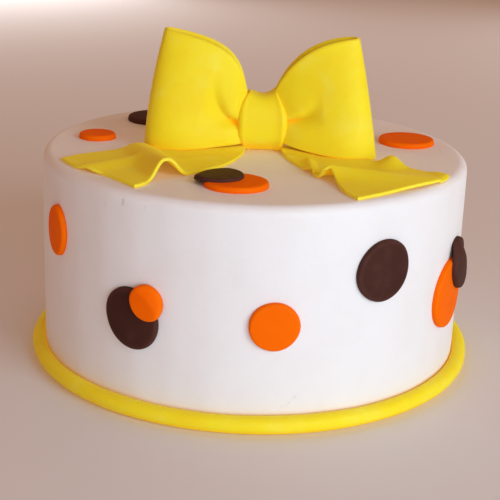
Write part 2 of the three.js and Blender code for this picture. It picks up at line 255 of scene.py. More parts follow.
def ring_tube_mesh(rows):
    """Rows of points that each go round, and that meet again after the last row."""
    return rows.reshape(-1, 3), [quads(numbers(rows), wrap_rows=True, wrap_columns=True)]


def leaf_mesh(upper, lower, meets=False):
    """Two sheets of points that share their border. Where the strip meets its own start again, only
    the borders along its two sides are shared."""
    top = numbers(upper)
    inside = np.zeros(top.shape, bool)
    inside[slice(None) if meets else slice(1, -1), 1:-1] = True
    bottom = top.copy()
    bottom[inside] = top.size + np.arange(inside.sum())
    points = np.concatenate([upper.reshape(-1, 3), lower[inside]])
    return points, [quads(top, wrap_rows=meets), quads(bottom, wrap_rows=meets)[:, ::-1]]


def signed_volume(points, faces):
    """A sixth of the sum, over triangles fanned from each face's first corner, of a . (b x c)."""
    total = 0.0
    for corners in faces:
        a = points[corners[:, 0]]
        for k in range(1, corners.shape[1] - 1):
            b, c = points[corners[:, k]], points[corners[:, k + 1]]
            total += np.einsum("ij,ij->", a, np.cross(b, c))
    return total / 6.0


def put_object(name, data):
    """An object in the scene with the given mesh, lamp or camera."""
    made = bpy.data.objects.new(name, data)
    bpy.context.scene.collection.objects.link(made)
    return made


def put_piece(name, shape, kind, edge=None):
    """Makes the smooth mesh object at the origin, faces outwards, in one colour of paste, riding on the
    root body and standing for the node of the same name. Points come in millimetres."""
    points, faces = shape
    if signed_volume(points, faces) < 0:
        faces = [corners[:, ::-1] for corners in faces]
    faces = [face for corners in faces for face in corners.tolist()]
    mesh = bpy.data.meshes.new(name)
    mesh.from_pydata((points * MM).tolist(), [], faces, shade_flat=False)
    if mesh.validate():
        raise RuntimeError(name + " has faces that Blender had to mend")
    if edge is not None:
        rims = mesh.attributes.new("edge", "FLOAT", "POINT")
        rims.data.foreach_set("value", edge.astype(np.float32).ravel())
    mesh.materials.append(paste(kind))
    piece = put_object(name + "_paste", mesh)
    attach(piece, "root")
    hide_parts(name)


# ---- Finishes ----


def fill(made, inputs):
    """Sets or links each named or numbered input of a shader node."""
    for key, value in inputs.items():
        if isinstance(value, bpy.types.NodeSocket):
            made.id_data.links.new(value, made.inputs[key])
        else:
            made.inputs[key].default_value = value


def node(tree, kind, inputs, **settings):
    """A new shader node with its settings and its inputs."""
    made = tree.nodes.new("ShaderNode" + kind)
    for key, value in settings.items():
        setattr(made, key, value)
    fill(made, inputs)
    return made


def maths(tree, operation, *values, clamp=False):
    """The output of a Math node."""
    return node(tree, "Math", dict(enumerate(values)), operation=operation, use_clamp=clamp).outputs[0]


def vectors(tree, operation, *values):
    """The output of a Vector Math node: a number for a product or a length, otherwise a vector."""
    made = node(tree, "VectorMath", dict(enumerate(values)), operation=operation)
    return made.outputs["Value" if operation in ("DOT_PRODUCT", "LENGTH") else "Vector"]


def between(tree, value, low, high, to_low=0.0, to_high=1.0):
    """A value carried smoothly from one range to another."""
    inputs = {"Value": value, "From Min": low, "From Max": high, "To Min": to_low, "To Max": to_high}
    return node(tree, "MapRange", inputs, interpolation_type="SMOOTHSTEP").outputs["Result"]


def noise(tree, where, scale, detail=2.0, roughness=0.5):
    """A soft noise over the object's own coordinates; the scale is in lumps per metre."""
    inputs = {"Vector": where, "Scale": scale, "Detail": detail, "Roughness": roughness}
    return node(tree, "TexNoise", inputs).outputs["Fac"]


def mixed(tree, factor, first, second):
    """The colour output of a Mix node."""
    return node(tree, "Mix", {0: factor, 6: first, 7: second}, data_type="RGBA").outputs[2]


def own_place(tree):
    """Each point's place in the object's own coordinates."""
    return node(tree, "TexCoord", {}).outputs["Object"]


def new_group(name, inputs, outputs):
    """An empty shader node group, with its sockets named under their kinds, and its two end nodes."""
    tree = bpy.data.node_groups.new(name, "ShaderNodeTree")
    for way, kinds in (("INPUT", inputs), ("OUTPUT", outputs)):
        for kind, labels in kinds.items():
            for label in labels:
                tree.interface.new_socket(label, in_out=way, socket_type="NodeSocket" + kind)
    return tree, tree.nodes.new("NodeGroupInput").outputs, tree.nodes.new("NodeGroupOutput").inputs


def paste_surface_group():
    """Rolled sugar paste: faint kneading streaks in the colour, a dry bloom of starch in patches, a
    lighter tone along the thin edges given by the Edge input, and a relief of smoothing marks with a
    fine skin over them."""
    inputs = {
        "Color": ("Colour", "Streak Colour", "Bloom Colour"),
        "Float": ("Streaks", "Bloom", "Edge", "Roughness"),
    }
    outputs = {"Color": ("Colour",), "Float": ("Roughness", "Height")}
    tree, given, result = new_group("Paste Surface", inputs, outputs)
    where = own_place(tree)
    bent = node(tree, "TexNoise", {"Vector": where, "Scale": 26.0, "Detail": 2.0}).outputs["Color"]
    pulled = vectors(tree, "MULTIPLY_ADD", bent, (0.02, 0.02, 0.02), where)
    streak = between(tree, noise(tree, pulled, 42.0, 4.0, 0.55), 0.40, 0.68)
    streak = maths(tree, "MULTIPLY", streak, given["Streaks"])
    patches = between(tree, noise(tree, where, 65.0, 5.0, 0.62), 0.48, 0.72)
    edge_breakup = maths(tree, "MULTIPLY", noise(tree, where, 210.0, 2.0), 2.4)
    edge = maths(tree, "MULTIPLY", given["Edge"], edge_breakup)
    bloom = maths(tree, "MULTIPLY", maths(tree, "MAXIMUM", patches, edge), given["Bloom"], clamp=True)
    toned = mixed(tree, streak, given["Colour"], given["Streak Colour"])
    tree.links.new(mixed(tree, bloom, toned, given["Bloom Colour"]), result["Colour"])
    dry = maths(tree, "MULTIPLY_ADD", bloom, 0.25, given["Roughness"])
    worn = maths(tree, "MULTIPLY_ADD", noise(tree, where, 130.0, 3.0), 0.10, -0.05)
    tree.links.new(maths(tree, "ADD", dry, worn, clamp=True), result["Roughness"])
    skin = noise(tree, where, 1300.0, 3.0, 0.6)
    marks = noise(tree, where, 170.0, 2.0, 0.5)
    relief = maths(tree, "MULTIPLY_ADD", marks, 0.75, maths(tree, "MULTIPLY", skin, 0.25))
    tree.links.new(relief, result["Height"])
    return tree


def paste_crack_group():
    """One short crack in the skin: 1 along a line, falling off across it over the width and towards its
    two ends, and broken up by a fine noise."""
    inputs = {"Vector": ("Middle", "Along"), "Float": ("Half Length", "Width")}
    tree, given, result = new_group("Paste Crack", inputs, {"Float": ("Mask",)})
    where = own_place(tree)
    shake = node(tree, "TexNoise", {"Vector": where, "Scale": 420.0, "Detail": 2.0}).outputs["Color"]
    shake = vectors(tree, "SUBTRACT", shake, (0.5, 0.5, 0.5))
    shaken = vectors(tree, "MULTIPLY_ADD", shake, (0.0024, 0.0024, 0.0024), where)
    reach = vectors(tree, "SUBTRACT", shaken, given["Middle"])
    run = vectors(tree, "DOT_PRODUCT", reach, given["Along"])
    back = node(tree, "VectorMath", {0: given["Along"], "Scale": run}, operation="SCALE").outputs[0]
    apart = vectors(tree, "LENGTH", vectors(tree, "SUBTRACT", reach, back))
    across = between(tree, maths(tree, "DIVIDE", apart, given["Width"]), 0.2, 1.0, 1.0, 0.0)
    past = maths(tree, "DIVIDE", maths(tree, "ABSOLUTE", run), given["Half Length"])
    ends = between(tree, past, 0.5, 1.0, 1.0, 0.0)
    tree.links.new(maths(tree, "MULTIPLY", across, ends), result["Mask"])
    return tree


# How each paste is finished: roughness and gloss, the streaks and the dry bloom as factors on its colour
# with their amounts, the relief, the share of the light that scatters inside and its reach by colour,
# the painted shade (a warmer, darker tone where hollows hide the surroundings) as factors on its
# colour, the dusty sheen and its tint, and the strength of a painted glow in the deepest hollows.
Finish = namedtuple(
    "Finish",
    "roughness gloss streak streaks bloom blooms relief subsurface radius hollow sheen dust glow",
    defaults=(0.0, (1.0, 1.0, 1.0), 0.0),
)
FINISHES = {
    "white": Finish(
        roughness=0.52, gloss=0.3, relief=0.16, subsurface=0.20, radius=(1.0, 0.9, 0.8),
        streak=(0.97, 0.955, 0.94), streaks=0.5, bloom=(1.02, 1.02, 1.02), blooms=0.25,
        hollow=(1.0, 0.90, 0.74), sheen=0.10, dust=(1.0, 0.97, 0.95),
    ),
    "yellow": Finish(
        roughness=0.48, gloss=0.12, relief=0.14, subsurface=0.40, radius=(1.0, 0.80, 0.35),
        streak=(0.97, 0.88, 0.60), streaks=0.5, bloom=(1.03, 1.14, 7.0), blooms=0.30,
        hollow=(1.0, 0.74, 0.34), sheen=0.30, dust=(1.0, 0.82, 0.12), glow=0.15,
    ),
    "orange": Finish(
        roughness=0.50, gloss=0.03, relief=0.18, subsurface=0.10, radius=(1.0, 0.3, 0.1),
        streak=(0.94, 0.80, 0.90), streaks=0.5, bloom=(1.03, 1.35, 4.0), blooms=0.16,
        hollow=(1.0, 0.7, 0.7),
    ),
    "brown": Finish(
        roughness=0.50, gloss=0.06, relief=0.20, subsurface=0.04, radius=(1.0, 0.5, 0.3),
        streak=(0.80, 0.78, 0.78), streaks=0.7, bloom=(1.9, 2.1, 2.3), blooms=0.30,
        hollow=(1.0, 0.9, 0.9),
    ),
}
# The light's reach inside the paste, the height of the relief and the reach of the painted shade in
# hollows, in metres.
SCATTER_REACH, RELIEF_HEIGHT, PAINTED_SHADE_REACH = 0.0025, 0.0012, 0.014
# How much of the sky is seen where the painted shade in a hollow is deepest, and where it ends.
PAINTED_SHADE_SKY = (0.12, 0.66)
PASTE_IOR = 1.46


def new_material(name):
    """A new material and its main node."""
    material = bpy.data.materials.new(name)
    material.use_nodes = True
    return material, material.node_tree.nodes["Principled BSDF"]


def tinted(colour, factors):
    """A colour with each part multiplied, kept below white."""
    return tuple(min(1.0, c * f) for c, f in zip(colour, factors)) + (1.0,)


def paste(kind):
    """The finish of one colour of paste. Its own streaks, bloom and relief go into the shared group."""
    name = kind + " sugar paste"
    if name in bpy.data.materials:
        return bpy.data.materials[name]
    colour = tuple(getattr(bpy.context.scene.cake_colours, kind))
    finish = FINISHES[kind]
    material, shader = new_material(name)
    material.diffuse_color = (*colour, 1.0)
    tree = material.node_tree
    rim = node(tree, "Attribute", {}, attribute_name="edge", attribute_type="GEOMETRY").outputs["Fac"]
    values = {
        "Colour": (*colour, 1.0),
        "Streak Colour": tinted(colour, finish.streak),
        "Bloom Colour": tinted(colour, finish.bloom),
        "Streaks": finish.streaks,
        "Bloom": finish.blooms,
        "Edge": rim,
        "Roughness": finish.roughness,
    }
    group = bpy.data.node_groups.get("Paste Surface") or paste_surface_group()
    surface = node(tree, "Group", values, node_tree=group).outputs
    shade, height = surface["Colour"], surface["Height"]
    # Painted shade: where ambient occlusion finds the surface hidden, as in creases and under the loops
    # and tails, the colour turns to a warmer, darker tint.
    open_sky = node(tree, "AmbientOcclusion", {"Distance": PAINTED_SHADE_REACH}).outputs["AO"]
    hollow = between(tree, open_sky, *PAINTED_SHADE_SKY, 1.0, 0.0)
    shade = mixed(tree, hollow, shade, tinted(colour, finish.hollow))
    if kind == "white":
        shade, height = cracked(tree, shade, height)
    bump = node(tree, "Bump", {"Height": height, "Strength": finish.relief, "Distance": RELIEF_HEIGHT})
    values = {
        "Base Color": shade,
        "Roughness": surface["Roughness"],
        "Normal": bump.outputs["Normal"],
        "Subsurface Weight": finish.subsurface,
        "Subsurface Radius": finish.radius,
        "Subsurface Scale": SCATTER_REACH,
        "Sheen Weight": finish.sheen,
        "Sheen Tint": (*finish.dust, 1.0),
        "IOR": PASTE_IOR,
        "Specular IOR Level": finish.gloss,
    }
    fill(shader, values)
    # Painted glow: the deepest hollows give off light in the paste's warm shade colour, though no lamp
    # is there.
    if finish.glow > 0:
        deep = maths(tree, "MULTIPLY", hollow, hollow)
        glow = mixed(tree, deep, (0.0, 0.0, 0.0, 1.0), tinted(colour, finish.hollow))
        fill(shader, {"Emission Color": glow, "Emission Strength": finish.glow})
    return material


# Cracks in the white skin: azimuth and height of the middle, the lean from upright, half the length, the
# width, and the depth from 0 to 1. Angles are in degrees and lengths in millimetres.
CRACKS = [
    (-32.6, 99.6, 6, 3.0, 0.8, 1.0),
    (-26.5, 97.4, 24, 1.6, 0.6, 0.6),
    (-38.0, 95.0, -14, 1.4, 0.6, 0.5),
    (10.8, 14.0, 38, 4.2, 0.6, 0.6),
    (8.2, 10.5, 30, 2.0, 0.6, 0.5),
    (148.0, 92.0, -12, 3.0, 0.6, 0.7),
    (-128.0, 16.0, 30, 3.0, 0.6, 0.6),
]
CRACK_COLOUR = (0.45, 0.40, 0.37, 1.0)
CRACK_SHADE, CRACK_DEPTH = 0.35, 1.2


def cracked(tree, shade, height):
    """The white paste's colour and relief with its few short cracks let in."""
    radius, mask = bpy.context.scene.cake_sizes.foot_radius, 0.0
    group = paste_crack_group()
    for azimuth, level, lean, half, width, depth in CRACKS:
        turn, tilt = math.radians(azimuth), math.radians(lean)
        values = {
            "Middle": (radius * math.sin(turn), -radius * math.cos(turn), level * MM),
            "Along": (
                math.sin(tilt) * math.cos(turn), math.sin(tilt) * math.sin(turn), math.cos(tilt),
            ),
            "Half Length": half * MM,
            "Width": width * MM,
        }
        crack = node(tree, "Group", values, node_tree=group).outputs["Mask"]
        mask = maths(tree, "MAXIMUM", mask, maths(tree, "MULTIPLY", crack, depth))
    darker = mixed(tree, maths(tree, "MULTIPLY", mask, CRACK_SHADE), shade, CRACK_COLOUR)
    return darker, maths(tree, "MULTIPLY_ADD", mask, -CRACK_DEPTH, height)


# ---- The cake ----

# How finely the cake is divided along its section and round it.
UNDER_STEPS, WALL_STEPS, EDGE_STEPS, LID_STEPS, CAKE_TURNS = 12, 88, 14, 46, 560
# The radius of the first ring round a pole, and the height up to which the wall's swell grows.
POLE, STILL_FOOT = 0.5, 12.0
# Waves by their wave numbers (round the wall and up it by the millimetre; on the top along x and y, by
# the top's length), their phase and their height. Then the lengths, and the height of the wall's bands.
WALL_WAVES = (4, 0.01, 0.8, 0.35), (9, -0.015, 2.1, 0.3), (17, 0.02, 4.0, 0.26), (37, 0.006, 1.1, 0.16)
TOP_WAVES = (1.0, 0.4, 0.3, 0.25), (-0.5, 1.3, 1.9, 0.2), (2.3, 1.1, 0.2, 0.1)
TOP_LENGTH, BAND_LENGTH, BAND_HEIGHT = 30, 9.0, 0.12


def wall_swell(azimuth, level):
    """How far the wall stands out from true, as a share of the swell: broad waves round the cake, which
    lean a little with height, narrower upright ones where the smoother was drawn, and low bands that
    waver up and down."""
    bands = BAND_HEIGHT * np.sin(level / BAND_LENGTH + 2.0 * np.sin(3 * azimuth))
    return ripple(azimuth, level, WALL_WAVES) + bands


def top_swell(x, y):
    """The same on the top: long waves across it."""
    return ripple(x / TOP_LENGTH, y / TOP_LENGTH, TOP_WAVES)


def wall_radius(sizes, level):
    """The true wall's radius at a height: it runs straight from the foot's to the top's."""
    return mix(sizes.foot_radius, sizes.top_radius, level * MM / sizes.height) / MM


def cake_rows(sizes):
    """Rows of points round the cake. The section runs from the middle of the underside out to the foot,
    up the wall, round the edge by a quarter turn and back to the middle of the top. Each point then
    moves out, square to the section, by the swell there."""
    height, edge, foot = sizes.height / MM, sizes.edge_radius / MM, sizes.foot_edge / MM
    base, top = sizes.foot_radius / MM, sizes.top_radius / MM
    under = pairs(np.linspace(POLE, base - foot, UNDER_STEPS), 0.0)
    bevel = np.array([[base - 0.3 * foot, 0.3 * foot]])
    levels = np.linspace(foot, height - edge, WALL_STEPS)
    wall = pairs(mix(base, top, levels / height), levels)
    turn = np.linspace(0, np.pi / 2, EDGE_STEPS)[1:]
    bend = pairs(top - edge + edge * np.cos(turn), height - edge + edge * np.sin(turn))
    lid = pairs(np.linspace(top - edge, POLE, LID_STEPS)[1:], height)
    section = np.concatenate([under, bevel, wall, bend, lid])
    below = np.zeros(len(under) + len(bevel))
    upright = np.concatenate([below, 0 * levels, turn, np.full(len(lid), np.pi / 2)])
    amount = np.concatenate([below, ramp(levels, foot, STILL_FOOT), np.ones(len(bend) + len(lid))])
    azimuth = around(CAKE_TURNS)[None, :]
    radius, level = section[:, :1], section[:, 1:]
    rise = np.sin(upright)[:, None]
    on_top = top_swell(radius * np.sin(azimuth), -radius * np.cos(azimuth))
    swell = sizes.swell / MM * amount[:, None] * mix(wall_swell(azimuth, level), on_top, rise**2)
    out = radius + swell * np.cos(upright)[:, None]
    return round_place(azimuth, out, level + swell * rise)


class CAKE_OT_body(Operator):
    """Make the covered cake"""

    bl_idname = "cake.body"
    bl_label = "Cake"

    def execute(self, context):
        put_piece("cake_body", ring_mesh(cake_rows(context.scene.cake_sizes)), "white")
        return {"FINISHED"}


# ---- The rope ----

# Where the thin stretch and the one short bump are, how wide and how high; how full the oval is, how
# deep it is pressed to the wall, and how finely it is divided.
THIN_AT, THIN_SPREAD = math.radians(-95), math.radians(35)
BUMP_AT, BUMP_SPREAD, BUMP_HEIGHT = 0.18, 0.05, 0.9
ROPE_FULLNESS, ROPE_PRESS, ROPE_STEPS = 0.9, 0.1, (540, 28)


def rope_rows(cake, rope):
    """Sections round the foot of the cake. Each is a full oval that stands on the table, pressed to the
    wall, and scaled by the rope's thickness there: 1, less a bell round the thin stretch on the left,
    plus waves and a bump from the rolling."""
    azimuth, angle = around(ROPE_STEPS[0])[:, None], around(ROPE_STEPS[1])[None, :]
    from_thin, from_bump = (2 * np.sin((azimuth - at) / 2) for at in (THIN_AT, BUMP_AT))
    waves = np.sin(3 * azimuth + 1) + np.sin(8 * azimuth) + 0.6 * np.sin(21 * azimuth + 0.4)
    waves = waves + BUMP_HEIGHT * gauss(from_bump, BUMP_SPREAD)
    thick = 1 - rope.thin_by * gauss(from_thin, THIN_SPREAD) + rope.unevenness * waves
    across, rise = (rounded(turn, ROPE_FULLNESS) for turn in (np.cos(angle), np.sin(angle)))
    radius = cake.foot_radius / MM - ROPE_PRESS + rope.depth / MM / 2 * (1 + across) * thick
    level = rope.height / MM / 2 * (1 + rise) * thick
    return round_place(azimuth, radius, level)


class CAKE_OT_rope(Operator):
    """Make the rolled rope round the foot of the cake"""

    bl_idname = "cake.rope"
    bl_label = "Rope"

    def execute(self, context):
        scene = context.scene
        rows = rope_rows(scene.cake_sizes, scene.rope_sizes)
        put_piece("base_rope", ring_tube_mesh(rows), "yellow")
        return {"FINISHED"}


# ---- The spots ----

# A spot's colour, its place (on the wall: azimuth in degrees and height; on the top: x and y), its radii
# before the turn, its turn in degrees, the spot under it and its share of the usual thickness.
Spot = namedtuple("Spot", "paste at radii turn over thin", defaults=(0, None, 1.0))
SIDE_SPOTS = {
    "side_spot_orange_front": Spot("orange", (6.0, 49.7), (11.2, 11.1)),
    "side_spot_brown_right": Spot("brown", (33.5, 71.4), (14.4, 13.7), 62),
    "side_spot_orange_right": Spot("orange", (63.0, 47.3), (15.6, 17.2), -30),
    "side_spot_brown_far_right": Spot("brown", (68.4, 60.0), (11.4, 13.0), 24, "side_spot_orange_right"),
    "side_spot_brown_left": Spot("brown", (-29.6, 46.0), (13.0, 14.7), 32),
    "side_spot_orange_small_left": Spot("orange", (-24.9, 55.4), (7.0, 8.3), 33, "side_spot_brown_left"),
    "side_spot_orange_far_left": Spot("orange", (-59.1, 73.6), (8.8, 12.1)),
    "side_spot_brown_back_right": Spot("brown", (104, 38), (11.2, 11.0)),
    "side_spot_orange_back_right": Spot("orange", (129, 70), (14.2, 13.8)),
    "side_spot_brown_back": Spot("brown", (153, 44), (14.0, 14.2)),
    "side_spot_orange_small_back": Spot("orange", (158.5, 55), (7.6, 7.8), 0, "side_spot_brown_back"),
    "side_spot_orange_back": Spot("orange", (183, 70), (11.2, 11.0)),
    "side_spot_brown_back_left": Spot("brown", (212, 50), (14.1, 13.8)),
    "side_spot_orange_back_left": Spot("orange", (237, 36), (13.8, 14.0)),
    "side_spot_brown_far_left": Spot("brown", (258, 68), (11.0, 11.2)),
}
TOP_SPOTS = {
    "top_spot_orange_left": Spot("orange", (-80.6, 8.5), (9.2, 9.0)),
    "top_spot_orange_right": Spot("orange", (78.0, 21.0), (14.2, 14.0)),
    "top_spot_orange_front": Spot("orange", (-7.9, -73.1), (14.5, 13.2)),
    "top_spot_brown_front": Spot(
        "brown", (-15.9, -67.9), (11.2, 10.8), over="top_spot_orange_front", thin=0.62
    ),
    "top_spot_brown_back_left": Spot("brown", (-56, 54), (13.8, 14.0)),
    "top_spot_orange_back": Spot("orange", (8, 72), (13.8, 14.0)),
    "top_spot_brown_back": Spot("brown", (42, 46), (8.6, 8.4)),
}


# How finely a spot is divided: on its face, its round edge and its base, and round it.
FACE_STEPS, RIM_STEPS, BASE_STEPS, SPOT_SIDES = 14, 7, 8, 112
# How far in its last ring is, as a share of the radius, its dome, and where the lighter band along its
# rim is strongest.
SPOT_INNER, SPOT_CROWN, RIM_BAND_AT = 0.97, 0.12, 0.35


def beyond_rim(spot, centre, across, along):
    """How far a point on the flattened surface lies outside a spot's rim: its distance from the middle,
    as a share of the oval's radius there, less 1, times the smaller radius."""
    angle = math.radians(spot.turn)
    x, y = across - centre[0], along - centre[1]
    a = (x * math.cos(angle) + y * math.sin(angle)) / spot.radii[0]
    b = (y * math.cos(angle) - x * math.sin(angle)) / spot.radii[1]
    return (np.hypot(a, b) - 1) * min(spot.radii)


def spot_rows(spot, centre, under, under_centre, sizes, place):
    """Rows of points round a disc, from the middle of its face over the round edge and down to the
    middle of its underside. The outline is an oval with a slight waver, and the whole disc is lifted
    where it lies on another spot, easing down past the rim of that one."""
    thick, edge = sizes.thickness / MM * spot.thin, sizes.edge_radius / MM * spot.thin
    sink = sizes.sink / MM
    least = min(spot.radii)
    middle = least * SPOT_INNER
    turn = np.linspace(0, np.pi / 2, RIM_STEPS)
    face = pairs(np.linspace(middle, edge, FACE_STEPS)[:-1], thick)
    rim = pairs(edge * (1 - np.sin(turn)), thick - edge * (1 - np.cos(turn)))
    skirt = np.array([[-0.12, 0.5 * (thick - edge)], [-0.1, 0.15], [0.2, -sink]])
    base = pairs(np.linspace(edge, middle, BASE_STEPS), -sink)
    section = np.concatenate([face, rim, skirt, base])
    inwards, height = section[:, :1], section[:, 1:]
    angle = around(SPOT_SIDES)[None, :]
    phase = centre[0] * 0.7 + centre[1]
    waver = 1 + 0.005 * np.sin(3 * angle + phase) + 0.004 * np.sin(5 * angle + 2 * phase)
    reach = (1 - inwards / least) * waver
    a, b = reach * spot.radii[0] * np.cos(angle), reach * spot.radii[1] * np.sin(angle)
    spin = math.radians(spot.turn)
    across = centre[0] + a * math.cos(spin) - b * math.sin(spin)
    along = centre[1] + a * math.sin(spin) + b * math.cos(spin)
    crown = SPOT_CROWN * (1 - (1 - inwards / least) ** 2) * (height > 0)
    lift = 0.0
    if under:
        beyond = beyond_rim(under, under_centre, across, along) - sizes.ledge / MM
        lift = sizes.thickness / MM * (1 - ramp(beyond, 0, sizes.drape / MM))
    rows = place(across, along, height + crown + lift)
    rim_band = gauss(inwards - RIM_BAND_AT * edge, edge) * (height > 0)
    return rows, rim_band + 0 * angle


def make_spots(spots, centre_of, place, sizes):
    """Makes each spot of a table, on its own or over the one beside it, with its rim marked."""
    for name, spot in spots.items():
        under = spots.get(spot.over)
        rows, edge = spot_rows(spot, centre_of(spot), under, under and centre_of(under), sizes, place)
        put_piece(name, ring_mesh(rows), spot.paste, np.append(edge.ravel(), [0.0, 0.0]))


class CAKE_OT_side_spots(Operator):
    """Make the spots on the wall of the cake"""

    bl_idname = "cake.side_spots"
    bl_label = "Side spots"

    def execute(self, context):
        cake = context.scene.cake_sizes
        foot = cake.foot_radius / MM

        def on_wall(arc, level, height):
            """A point on the wall, by the arc from the front, its height and how far it stands out."""
            azimuth = arc / foot
            radius = wall_radius(cake, level) + cake.swell / MM * wall_swell(azimuth, level) + height
            return round_place(azimuth, radius, level)

        def centre_of(spot):
            """A spot's middle on the unrolled wall, by its arc and height."""
            return math.radians(spot.at[0]) * foot, spot.at[1]

        make_spots(SIDE_SPOTS, centre_of, on_wall, context.scene.spot_sizes)
        return {"FINISHED"}


class CAKE_OT_top_spots(Operator):
    """Make the spots on the top of the cake"""

    bl_idname = "cake.top_spots"
    bl_label = "Top spots"

    def execute(self, context):
        cake = context.scene.cake_sizes

        def on_top(x, y, height):
            """A point on the top, by its place in plan and how far it stands up."""
            level = cake.height / MM + cake.swell / MM * top_swell(x, y)
            return np.stack([x, y, level + height], axis=-1)

        make_spots(TOP_SPOTS, lambda spot: spot.at, on_top, context.scene.spot_sizes)
        return {"FINISHED"}


# ---- The bow's tails ----

# A ridge in a strip: a line in plan, its height and its widths on the near and far side, at both ends,
# and the power of the bell across it: more than 2 is flatter on top and less is sharper.
Ridge = namedtuple("Ridge", "start end height near far power", defaults=(2.0,))
# A tail's front, back and cut edge in plan, the line that a loop rests beside, its folds and pleats.
Tail = namedtuple("Tail", "front back end rest ridges pleats")
TAILS = {
    "bow_tail_left": Tail(
        [
            (-5, -14), (-9.6, -31), (-15.5, -43.4), (-23, -50.9), (-29.8, -59), (-34.6, -64),
            (-39.2, -65.6), (-42.9, -69.6), (-46, -74), (-48.6, -79.4), (-52.2, -83.6),
        ],
        [
            (-5, 2), (-21, -5), (-39, -11.2), (-55, -16.8), (-66.8, -20.6), (-74.8, -25.8),
            (-83.6, -32.2), (-91, -41),
        ],
        [(-52.2, -83.6), (-57, -77.6), (-67.3, -66), (-74.8, -61.2), (-83.4, -53), (-91, -41)],
        [(-5, 7), (-92.5, -36.2)],
        [
            Ridge((-39.3, -67), (-57, -18.5), (8.3, 3), (6.6, 6.5), (6.6, 6.5), 2.5),
            Ridge((-76, -58), (-60, -43), (1.7, 1.8), (7, 7), (4.5, 4.5)),
        ],
        [
            Ridge((-7, -12), (-28, -18), (1.6, 0.5), (4, 4), (4, 4)),
            Ridge((-20, -30), (-45, -40), (0.5, 0.5), (3.5, 3.5), (3.5, 3.5)),
        ],
    ),
    "bow_tail_right": Tail(
        [
            (12, -6), (14.9, -22.2), (19, -34.1), (22.6, -41.6), (25.6, -49.4), (28.4, -56),
            (31.4, -59.6), (34.4, -60.4), (36.2, -65.6), (37.8, -73), (40.3, -82), (44.9, -90.6),
        ],
        [
            (12, 2), (27, -7.4), (44, -17), (58, -25), (64, -29.8), (72.9, -36), (81.9, -42.6),
            (87.6, -44.4), (90.4, -48.4),
        ],
        [
            (44.9, -90.6), (53.2, -84.2), (61.5, -77.8), (72.3, -69.4), (78.3, -64.6), (84, -59.2),
            (88.4, -53.6), (90.4, -48.4),
        ],
        [(12, 5.4), (90.6, -47.5)],
        [
            Ridge((26.4, -50), (25.8, -31), (2.4, 1.8), (1.8, 2.2), (1.9, 2.2)),
            Ridge((60.5, -42), (65.8, -30.6), (0.6, 4.8), (5.6, 5.6), (5.2, 5.2)),
            Ridge((34.7, -58.6), (80, -58), (6, 1.4), (6.5, 15), (4, 7), 1.4),
        ],
        [
            Ridge((13.7, -11.2), (27, -19), (1.5, 0.6), (1.8, 2.4), (1.8, 2.4)),
            Ridge((15, -14.5), (26, -27), (-0.7, -0.4), (1.3, 1.6), (1.3, 1.6)),
            Ridge((88, -51), (85, -46), (1.2, 0.8), (3.5, 3.5), (3.5, 3.5)),
        ],
    ),
}


# A tail's rough length, to place its rounded ends; how deep it is pressed into the top; and how finely
# it is divided along and across.
TAIL_LENGTH, TAIL_PRESS, TAIL_STEPS = 95.0, 0.15, (150, 90)


def beside(start, end, x, y):
    """How far along a line in plan a point is, how far to the right of it, and the line's length."""
    start, end = np.array(start, float), np.array(end, float)
    span = np.linalg.norm(end - start)
    run = (end - start) / span
    x, y = x - start[0], y - start[1]
    return x * run[0] + y * run[1], x * run[1] - y * run[0], span


def ridge_height(ridge, x, y):
    """A rounded crest: the height at its share of the run, times a bell of the given power across it and
    a plain one past its ends."""
    along, aside, span = beside(ridge.start, ridge.end, x, y)
    part = np.clip(along / span, 0, 1)
    width = np.where(aside > 0, mix(*ridge.near, part), mix(*ridge.far, part))
    past = along - part * span
    bell = np.exp(-(np.abs(aside / width) ** ridge.power))
    return mix(*ridge.height, part) * bell * gauss(past, width)


def tail_height(tail, x, y):
    """How far the strip's folds lift it over lying flat."""
    return sum(ridge_height(ridge, x, y) for ridge in tail.ridges)


def tail_plan(tail, u, v):
    """A point of the strip in plan, by its place along and across it, blended between the four edges:
    the two long ones mixed across, plus the two short ones mixed along, less the four corners mixed
    both ways."""
    front, back = curve_through(tail.front, u), curve_through(tail.back, u)
    end = curve_through(tail.end, v)
    u, v = u[..., None], v[..., None]
    corners = tail.front[0], tail.back[0], tail.end[0], tail.end[-1]
    first, second, third, fourth = (np.array(corner, float) for corner in corners)
    start = mix(first, second, v)
    return mix(front, back, v) + mix(start, end, u) - mix(start, mix(third, fourth, v), u)


def over_rim(cake, x, y):
    """How far the round edge of the cake drops below its top at a point: a quarter circle."""
    edge = cake.edge_radius / MM
    beyond = np.clip(np.hypot(x, y) - (cake.top_radius / MM - edge), 0, edge * 0.98)
    return edge - np.sqrt(edge * edge - beyond * beyond)


def tail_level(tail, cake, thickness, x, y):
    """The height of the strip's middle: half its thickness over the cake, less the press, plus its
    folds and pleats."""
    folds = tail_height(tail, x, y) + sum(ridge_height(pleat, x, y) for pleat in tail.pleats)
    return cake.height / MM - TAIL_PRESS + thickness / 2 - over_rim(cake, x, y) + folds


